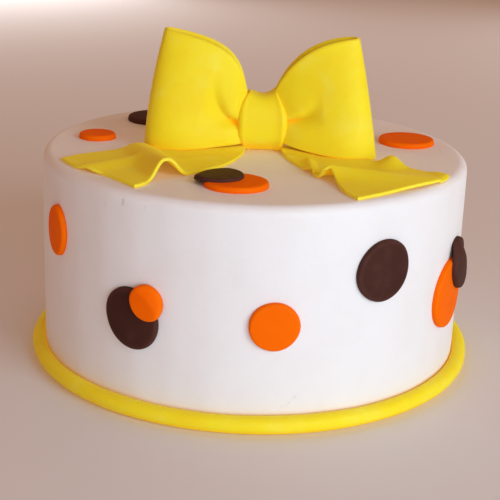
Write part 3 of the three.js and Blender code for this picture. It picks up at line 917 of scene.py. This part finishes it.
def tail_sheets(tail, cake, thickness):
    """Two sheets, half a thickness either side of the strip's middle surface, that meet round it."""

    def middle(u, v):
        """The middle surface, by the place along and across."""
        plan = tail_plan(tail, u, v)
        level = tail_level(tail, cake, thickness, plan[..., 0], plan[..., 1])
        return np.concatenate([plan, level[..., None]], axis=-1)

    along, full_along = edge_steps(TAIL_LENGTH, thickness / 2, TAIL_STEPS[0])
    u = along[0]
    width = np.linalg.norm(curve_through(tail.front, u) - curve_through(tail.back, u), axis=-1)
    v, full_across = edge_steps(width, thickness / 2, TAIL_STEPS[1])
    u = np.broadcast_to(u[:, None], v.shape)
    half = thickness / 2 * full_along[:, None] * full_across[None, :]
    rim = np.maximum(1 - full_along[:, None], 1 - full_across[None, :])
    return *both_sides(middle, u, v, half), rim


def put_leaf(name, upper, lower, rim, meets):
    """A ribbon piece from its two sheets, with its rim marked for the finish."""
    inside = rim[:, 1:-1] if meets else rim[1:-1, 1:-1]
    edge = np.concatenate([rim.ravel(), inside.ravel()])
    put_piece(name, leaf_mesh(upper, lower, meets), "yellow", edge)


class CAKE_OT_tails(Operator):
    """Make the two wavy tails of the bow"""

    bl_idname = "cake.tails"
    bl_label = "Tails"

    def execute(self, context):
        thickness = context.scene.bow_sizes.tail_thickness / MM
        for name, tail in TAILS.items():
            upper, lower, rim = tail_sheets(tail, context.scene.cake_sizes, thickness)
            put_leaf(name, upper, lower, rim, meets=False)
        return {"FINISHED"}


# ---- The bow's loops ----

# A crease has its depth, its heights at the knot and its end, its reach, the power by which it rises,
# and its widths above and below, at the knot and its end. Heights run from -1 to 1, reaches to 1.
Crease = namedtuple("Crease", "depth heights reach turn above below")
# A mound has its middle and size, each out and up, and how far it stands out.
Mound = namedtuple("Mound", "at size out")
# A loop's lower edge, middle line and upper edge in the plane of X and Z, from the knot out to the bend;
# its y at the knot and, low, mid and high, at the bend; how far its front and back layers then bulge,
# low, mid and high; its crease; and the soft mounds of its front layer.
Loop = namedtuple("Loop", "lower middle upper knot_y bend_y front back crease mounds")
LOOPS = {
    "bow_loop_left": Loop(
        [(-1, 107.5), (-14, 106.4), (-31, 103.2), (-54.2, 103.6)],
        [(-1, 115.5), (-16, 115.5), (-34, 126), (-51.2, 131.5)],
        [(-6, 128), (-5.4, 153), (-19.5, 157), (-44.7, 162.4)],
        -3,
        (-7.5, -6.5, -5),
        (10, 10, 6),
        (8, 8, 5),
        Crease(6.4, (0.06, 0.50), 0.56, 3, (1.5, 5.0), (1.5, 9.0)),
        [Mound((0.24, 0.46), (0.14, 0.36), 1.8), Mound((0.24, -0.50), (0.17, 0.42), 1.4)],
    ),
    "bow_loop_right": Loop(
        [(7, 109.2), (20, 105.2), (36, 103.5), (58.3, 103.6)],
        [(7, 118.5), (24, 118.5), (40, 126), (53.6, 131)],
        [(7, 129), (13.5, 149.5), (27, 159.4), (47.1, 161.2)],
        -3,
        (-13, -11, -8),
        (11, 10, 5),
        (8, 8, 5),
        Crease(5.6, (0.0, 0.14), 0.54, 2, (1.4, 4.6), (1.4, 5.5)),
        [Mound((0.24, 0.44), (0.17, 0.36), 1.3), Mound((0.24, -0.50), (0.18, 0.42), 1.3)],
    ),
}
# The greatest value of the bell along a loop, half its height and its reach, how deep its foot is
# pressed into a tail and over what length it eases down behind one, and how finely it is divided.
BELL_PEAK, LOOP_HALF_HEIGHT, LOOP_REACH = 0.77, 20, 48
FOOT_PRESS, FOOT_EASE, LOOP_STEPS = 0.7, 4.0, (300, 110)


def through(low, mid, high, t):
    """The parabola that takes three values at -1, 0 and 1."""
    return mid + t * (high - low) / 2 + t * t * ((high + low) / 2 - mid)


def rest_lift(x, y, bow):
    """How much higher a loop has to stand where a tail passes under it, easing down beside the tail's
    back edge."""
    lift = 0.0
    for tail in TAILS.values():
        start, end = tail.rest
        along, aside, _ = beside(start, end, x, y)
        inside = np.sign(end[0] - start[0]) * aside
        on_strip = ramp(inside, -FOOT_EASE, -bow.loop_thickness / MM / 2) * (along > 0)
        height = tail_height(tail, x, y) + bow.tail_thickness / MM - FOOT_PRESS
        lift = np.maximum(lift, on_strip * height)
    return lift


def crease_dip(crease, out, t):
    """How deep the crease is: its depth, fading out along its reach, times a bell of the distance to its
    line, which rises by a power of its share of the reach. The distance is taken square to the line."""
    part = np.minimum(1, out / crease.reach)
    low, high = crease.heights
    slope = (high - low) * crease.turn * part ** (crease.turn - 1) / crease.reach
    level = t - mix(low, high, part**crease.turn)
    across = level * LOOP_HALF_HEIGHT / np.hypot(1, slope * LOOP_HALF_HEIGHT / LOOP_REACH)
    width = np.where(across > 0, mix(*crease.above, part**2), mix(*crease.below, part**2))
    return crease.depth * (1 - part**3) ** 1.5 * gauss(across, width)


def mound_height(mound, out, t):
    """A bell along the loop times a bell up it."""
    return mound.out * gauss(out - mound.at[0], mound.size[0]) * gauss(t - mound.at[1], mound.size[1])


def loop_middle(loop, bow):
    """The middle surface of a loop, by the angle round its band (0 at the knot, a half turn at the bend)
    and the height from -1 to 1. Out runs from 0 to 1 as half of one less the cosine. In the plane of X
    and Z the point lies on the parabola through the three rails there. The layers stand apart by the
    pinch, plus a depth that is greatest two thirds of the way out and nothing at the bend. Both are
    pressed back by the crease, and the front one stands forward by its mounds."""

    def place(angle, t):
        """A point of the middle surface."""
        out = (1 - np.cos(angle)) / 2
        rails = (bezier(rail, out) for rail in (loop.lower, loop.middle, loop.upper))
        x, z = np.moveaxis(through(*rails, t[..., None]), -1, 0)
        is_front = np.sin(angle) > 0
        depth = np.where(is_front, through(*loop.front, t), through(*loop.back, t))
        bell = np.abs(np.sin(angle)) * np.sin(angle / 2) / BELL_PEAK
        apart = bow.pinch / MM * np.minimum(1, 4 * np.abs(np.sin(angle))) + depth * bell
        front = -apart - sum(mound_height(mound, out, t) for mound in loop.mounds)
        line = mix(loop.knot_y, through(*loop.bend_y, t), out)
        y = line + np.where(is_front, front, apart) + crease_dip(loop.crease, out, t)
        near_foot = ((1 - t) / 2) ** 4
        return np.stack([x, y, z + near_foot * rest_lift(x, y, bow)], axis=-1)

    return place


def loop_sheets(loop, bow):
    """The outer and inner sheet of a loop's band, half a thickness either side of its middle surface,
    and round at both rims."""
    thickness = bow.loop_thickness / MM
    middle = loop_middle(loop, bow)
    turns, rows = LOOP_STEPS
    angle = (np.arange(turns) + 0.5) / turns * 2 * np.pi
    out = (1 - np.cos(angle)) / 2
    tall = np.linalg.norm(bezier(loop.upper, out) - bezier(loop.lower, out), axis=-1)
    places, full = edge_steps(tall, thickness / 2, rows)
    t = 2 * places - 1
    angle = np.broadcast_to(angle[:, None], t.shape)
    full = np.broadcast_to(full, t.shape)
    return *both_sides(middle, angle, t, thickness / 2 * full), 1 - full


class CAKE_OT_loops(Operator):
    """Make the two loops of the bow"""

    bl_idname = "cake.loops"
    bl_label = "Loops"

    def execute(self, context):
        for name, loop in LOOPS.items():
            upper, lower, rim = loop_sheets(loop, context.scene.bow_sizes)
            put_leaf(name, upper, lower, rim, meets=True)
        return {"FINISHED"}


# ---- The bow's knot ----

# Each side of the knot: x at its bottom, belly and top, how straight the belly is and how far the upper
# part turns up. Then its middle, the round of its sides, and how finely it is divided.
KnotSide = namedtuple("KnotSide", "bottom belly top barrel upturn")
KNOT_LEFT = KnotSide(-4.6, -8.7, -5.2, 4.5, 2.4)
KNOT_RIGHT = KnotSide(12.6, 15.0, 10.2, 3, 5.6)
KNOT_MIDDLE_Y, KNOT_ROUND, KNOT_STEPS = -2.0, 1.8, (76, 144)
# How full a ring is upwards, and forwards below and above the middle; and where the lips are, how wide
# and how high, as shares.
KNOT_RISE, KNOT_AHEAD = 0.8, (0.95, 0.62)
KNOT_LIPS = (-0.84, 0.14, 0.6), (0.82, 0.14, 1.0)


def knot_rows(bow):
    """Rings round the band, from its left side to its right. A ring is an oval, fuller in front above
    the middle, that shrinks into a round towards either side, with a lip just before it. Its upper part
    turns up towards both sides."""
    station = np.sin(np.linspace(-np.pi / 2, np.pi / 2, KNOT_STEPS[0]))[:, None]
    angle = around(KNOT_STEPS[1])[None, :]
    rise = rounded(np.sin(angle), KNOT_RISE)
    below, above = (rounded(np.cos(angle), fullness) for fullness in KNOT_AHEAD)
    ahead = np.where(rise > 0, above, below)
    lips = sum(height * gauss(station - at, width) for at, width, height in KNOT_LIPS)
    lip = bow.knot_lip / MM * lips
    rounding = KNOT_ROUND * (1 - np.sqrt(1 - np.minimum(1.0, station**8))) - lip
    lift = mix(KNOT_LEFT.upturn, KNOT_RIGHT.upturn, (station + 1) / 2)
    upturn = lift * np.maximum(0, rise) ** 3 * (station**2 - station**8)

    def side(edge):
        """Where one side runs, by the height of the point."""
        end = np.where(rise > 0, edge.top, edge.bottom)
        return mix(edge.belly, end, np.abs(rise) ** edge.barrel)

    top, bottom = bow.knot_top / MM, bow.knot_bottom / MM
    x = mix(side(KNOT_LEFT), side(KNOT_RIGHT), (station + 1) / 2)
    y = KNOT_MIDDLE_Y - ahead * (bow.knot_depth / MM / 2 - rounding)
    z = (top + bottom) / 2 + rise * ((top - bottom) / 2 - rounding + upturn)
    return np.stack([x, y, z], axis=-1)


class CAKE_OT_knot(Operator):
    """Make the knot of the bow"""

    bl_idname = "cake.knot"
    bl_label = "Knot"

    def execute(self, context):
        put_piece("bow_knot", ring_mesh(knot_rows(context.scene.bow_sizes)), "yellow")
        return {"FINISHED"}


# ---- Floor, lights and camera ----

LENS, SENSOR = 86.44, 36.0
CAMERA_AT = (0.0, -0.588164, 0.247694)
CAMERA_RIGHT = (0.99931172, 0.01326892, 0.0346413)
CAMERA_UP = (-0.03706641, 0.32013088, 0.94664793)
CAMERA_FORWARD = (-0.00147124, 0.9472804, -0.32040237)

# Each light's name, place, width and height, the setting with its power, its tint, and whether
# reflections show it.
COOL, COOLER, PLAIN = (0.765, 0.92, 1.0), (0.62, 0.82, 1.0), (1.0, 1.0, 1.0)
LIGHTS = [
    ("key", (0.95, -1.05, 0.55), (0.7, 0.7), "key", COOL, True),
    ("front", (0.30, -1.40, 0.25), (0.9, 0.5), "front", COOLER, True),
    ("back_left", (-0.6, 1.3, 0.25), (0.9, 0.5), "back", PLAIN, False),
    ("back_right", (1.0, 1.0, 0.25), (0.9, 0.5), "back", PLAIN, False),
]
AIM = Vector((0, 0, 0.07))
SKY_COLOUR = (1.0, 0.52, 0.31)
# The radii of the floor's rings, its points round, and how far it lies under the cake.
FLOOR_RINGS, FLOOR_SIDES, FLOOR_GAP = np.array([0.2, 1.0, 4.0, 12.0]), 96, 0.0002


def soft_light(name, place, size, strength, tint, shines):
    """A rectangular area light at a place, turned to face the middle of the cake."""
    lamp = bpy.data.lights.new(name, "AREA")
    lamp.shape = "RECTANGLE"
    lamp.size, lamp.size_y = size
    lamp.energy = strength
    lamp.color = tint
    light = put_object(name, lamp)
    light.location = place
    light.rotation_euler = (AIM - light.location).to_track_quat("-Z", "Y").to_euler()
    light.visible_glossy = shines


class CAKE_OT_studio(Operator):
    """Set up the plain floor, the soft lights and the camera"""

    bl_idname = "cake.studio"
    bl_label = "Floor, lights and camera"

    def execute(self, context):
        scene, studio = context.scene, context.scene.studio
        angle, radius = around(FLOOR_SIDES), FLOOR_RINGS[:, None]
        disc = np.stack([radius * np.cos(angle), radius * np.sin(angle), 0 * radius * angle], axis=-1)
        points = np.concatenate([[[0.0, 0.0, 0.0]], disc.reshape(-1, 3)])
        grid = 1 + numbers(disc)
        middle = np.stack([0 * grid[0], grid[0], np.roll(grid[0], -1)], axis=1)
        mesh = bpy.data.meshes.new("floor")
        faces = quads(grid, wrap_columns=True)[:, ::-1].tolist() + middle.tolist()
        mesh.from_pydata((points - [0, 0, FLOOR_GAP]).tolist(), [], faces)
        put_object("floor", mesh)
        material, shader = new_material("floor")
        fill(shader, {"Base Color": (*studio.floor, 1.0), "Roughness": 0.9})
        mesh.materials.append(material)

        world = bpy.data.worlds.new("surroundings")
        world.use_nodes = True
        sky = world.node_tree.nodes["Background"]
        fill(sky, {"Color": (*SKY_COLOUR, 1.0), "Strength": studio.sky})
        scene.world = world
        scene.view_settings.view_transform = "Standard"

        for name, place, size, strength, tint, shines in LIGHTS:
            soft_light(name, place, size, getattr(studio, strength), tint, shines)

        lens = bpy.data.cameras.new("camera")
        lens.lens, lens.sensor_width = LENS, SENSOR
        camera = put_object("camera", lens)
        columns = [Vector(CAMERA_RIGHT), Vector(CAMERA_UP), -Vector(CAMERA_FORWARD)]
        camera.matrix_world = Matrix.Translation(CAMERA_AT) @ Matrix(columns).transposed().to_4x4()
        scene.camera = camera
        return {"FINISHED"}


# ---- The add-on ----

STEPS = (
    CAKE_OT_studio,
    CAKE_OT_body,
    CAKE_OT_rope,
    CAKE_OT_side_spots,
    CAKE_OT_top_spots,
    CAKE_OT_tails,
    CAKE_OT_loops,
    CAKE_OT_knot,
)
SETTINGS = {
    "cake_sizes": CakeSizes,
    "rope_sizes": RopeSizes,
    "spot_sizes": SpotSizes,
    "bow_sizes": BowSizes,
    "cake_colours": PasteColours,
    "studio": StudioSettings,
}


class CAKE_PT_panel(Panel):
    """The cake's sizes, colours and steps"""

    bl_idname = "CAKE_PT_panel"
    bl_label = "Party cake"
    bl_space_type = "VIEW_3D"
    bl_region_type = "UI"
    bl_category = "Cake"

    def draw(self, context):
        for name, settings in SETTINGS.items():
            box = self.layout.box()
            box.label(text=name.replace("_", " ").capitalize())
            for key in settings.__annotations__:
                box.prop(getattr(context.scene, name), key)
        for step in STEPS:
            self.layout.operator(step.bl_idname)


def register():
    """Registers the classes and hangs the settings on the scene."""
    for kind in (*SETTINGS.values(), *STEPS, CAKE_PT_panel):
        bpy.utils.register_class(kind)
    for name, settings in SETTINGS.items():
        setattr(bpy.types.Scene, name, PointerProperty(type=settings))


def unregister():
    """Takes it all away again."""
    for name in SETTINGS:
        delattr(bpy.types.Scene, name)
    for kind in (CAKE_PT_panel, *reversed(STEPS), *SETTINGS.values()):
        bpy.utils.unregister_class(kind)


def main():
    """Makes the whole cake."""
    register()
    for step in STEPS:
        family, action = step.bl_idname.split(".")
        getattr(getattr(bpy.ops, family), action)()


if __name__ == "__main__":
    main()
